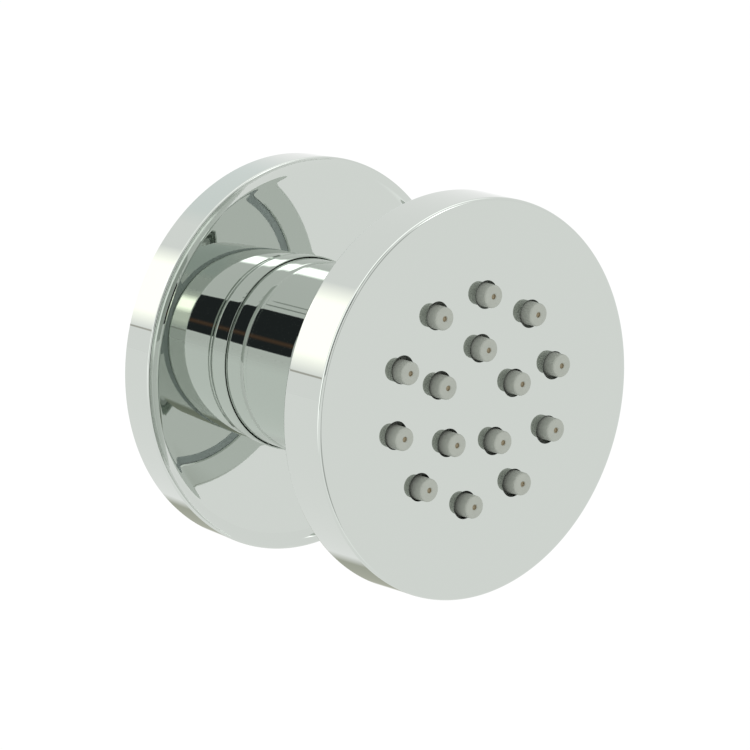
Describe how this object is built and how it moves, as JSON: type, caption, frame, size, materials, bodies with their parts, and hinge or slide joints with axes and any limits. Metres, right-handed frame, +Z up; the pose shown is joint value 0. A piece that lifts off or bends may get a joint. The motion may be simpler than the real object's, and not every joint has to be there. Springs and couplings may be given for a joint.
{
  "type": "shower body jet",
  "caption": "Round chromed wall shower jet: spray head with silicone nozzles on a swivel ball, plain cylindrical neck, sliding wall flange and a male threaded inlet.",
  "frame": {"origin": "on the water axis in the plane of the finished wall, where the back of the wall flange lies", "axes": "+Z up; the jet faces -Y and its threaded inlet points along +Y into the wall"},
  "size_m": [0.0602, 0.0609, 0.0602],
  "materials": {
    "chrome": "mirror polished",
    "steel": "satin",
    "seal_rubber": "matte",
    "silicone": "matte",
    "white_plastic": "moulded"
  },
  "bodies": {
    "wall_body": {"inlet_body": "chrome", "inlet_washer": "seal_rubber", "flow_disc": "white_plastic", "inlet_screen": "steel", "ball_seal": "seal_rubber", "rear_seat": "white_plastic", "swivel_nut": "chrome"},
    "flange": {"wall_flange": "chrome", "flange_ring": "seal_rubber"},
    "swivel_ring": {"front_seat": "white_plastic"},
    "head": {"swivel_ball": "chrome", "stem_washer": "seal_rubber", "head_back": "chrome", "head_seal": "seal_rubber", "head_shell": "chrome", "spray_plate": "white_plastic", "nozzle_mat": "silicone"}
  },
  "joints": [
    {"name": "flange_slide", "type": "slide", "parent": "wall_body", "child": "flange", "axis": [0, -1, 0], "range_m": [0, 0.01]},
    {"name": "head_turn", "type": "hinge", "parent": "wall_body", "child": "swivel_ring", "pos_m": [0, -0.0189, 0], "axis": [0, -1, 0], "continuous": true},
    {"name": "head_tilt", "type": "hinge", "parent": "swivel_ring", "child": "head", "pos_m": [0, -0.0189, 0], "axis": [1, 0, 0], "range_deg": [-15, 15]}
  ]
}
